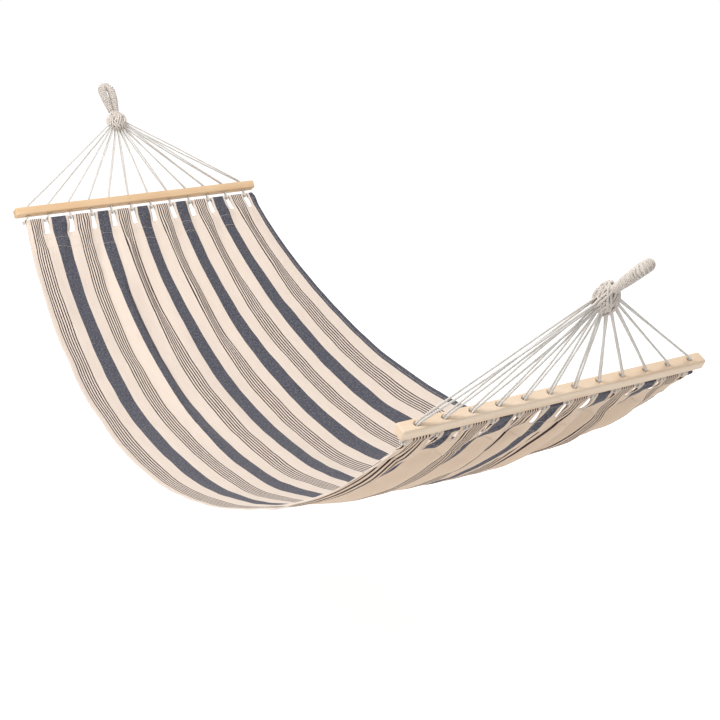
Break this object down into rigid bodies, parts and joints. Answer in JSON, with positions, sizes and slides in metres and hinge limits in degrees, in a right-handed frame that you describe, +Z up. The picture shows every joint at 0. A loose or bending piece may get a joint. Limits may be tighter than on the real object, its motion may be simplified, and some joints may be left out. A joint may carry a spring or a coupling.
{
  "type": "fabric hammock with spreader bars",
  "caption": "Striped woven fabric hammock with drilled wooden spreader bars, corded fans and whipped rope eyes that drop over hooks at each end.",
  "frame": {"origin": "under the middle of the hammock, midway between the two ends and on its length-wise mid-plane, at the height of the lowest point of the bed", "axes": "+X runs from the head end to the foot end, +Y along the spreader bars, +Z up"},
  "size_m": [2.3966, 0.9532, 0.906],
  "materials": {
    "pale_hardwood": "smooth sanded, unvarnished",
    "cotton_cord": "matte twisted cord",
    "whipping_cord": "matte twisted cord, closely wound",
    "striped_cotton": "matte plain weave, cream with navy and dark pin stripes",
    "hem_cord": "matte braided cord"
  },
  "bodies": {
    "hooked_eyes": {"head_eye_core": "cotton_cord", "head_eye_whipping": "whipping_cord", "foot_eye_core": "cotton_cord", "foot_eye_whipping": "whipping_cord"},
    "head_clew": {"head_clew_knot": "whipping_cord"},
    "head_fan": {"head_spreader_bar": "pale_hardwood", "head_cord_01": "cotton_cord", "head_cord_02": "cotton_cord", "head_cord_03": "cotton_cord", "head_cord_04": "cotton_cord", "head_cord_05": "cotton_cord", "head_cord_06": "cotton_cord", "head_cord_07": "cotton_cord", "head_cord_08": "cotton_cord", "head_cord_09": "cotton_cord", "head_cord_10": "cotton_cord", "head_cord_11": "cotton_cord", "head_cord_12": "cotton_cord"},
    "bed": {"fabric_bed": "striped_cotton", "head_hem_cord": "hem_cord", "foot_hem_cord": "hem_cord"},
    "foot_fan": {"foot_spreader_bar": "pale_hardwood", "foot_cord_01": "cotton_cord", "foot_cord_02": "cotton_cord", "foot_cord_03": "cotton_cord", "foot_cord_04": "cotton_cord", "foot_cord_05": "cotton_cord", "foot_cord_06": "cotton_cord", "foot_cord_07": "cotton_cord", "foot_cord_08": "cotton_cord", "foot_cord_09": "cotton_cord", "foot_cord_10": "cotton_cord", "foot_cord_11": "cotton_cord", "foot_cord_12": "cotton_cord"},
    "foot_clew": {"foot_clew_knot": "whipping_cord"}
  },
  "joints": [
    {"name": "side_swing", "type": "hinge", "parent": "hooked_eyes", "child": "head_clew", "pos_m": [-1.1209, 0, 0.79316], "axis": [0.9977, 0, -0.0677], "range_deg": [-30, 30]},
    {"name": "lengthwise_surge", "type": "hinge", "parent": "head_clew", "child": "head_fan", "pos_m": [-1.1209, 0, 0.79316], "axis": [0, 1, 0], "range_deg": [-7, 7]},
    {"name": "head_hem_turn", "type": "hinge", "parent": "head_fan", "child": "bed", "pos_m": [-0.9749, 0, 0.54029], "axis": [0, 1, 0], "range_deg": [-8.2, 8.2]},
    {"name": "foot_hem_turn", "type": "hinge", "parent": "bed", "child": "foot_fan", "pos_m": [0.9451, 0, 0.39028], "axis": [0, 1, 0], "range_deg": [-7.6, 7.6]},
    {"name": "foot_clew_turn", "type": "hinge", "parent": "foot_fan", "child": "foot_clew", "pos_m": [1.0911, 0, 0.64316], "axis": [0, 1, 0], "range_deg": [-6.6, 6.6]}
  ],
  "couplings": [
    {"joint": "head_hem_turn", "follows": "lengthwise_surge", "ratio": -1.1449},
    {"joint": "foot_hem_turn", "follows": "lengthwise_surge", "ratio": 1.0581},
    {"joint": "foot_clew_turn", "follows": "lengthwise_surge", "ratio": -0.9132}
  ]
}
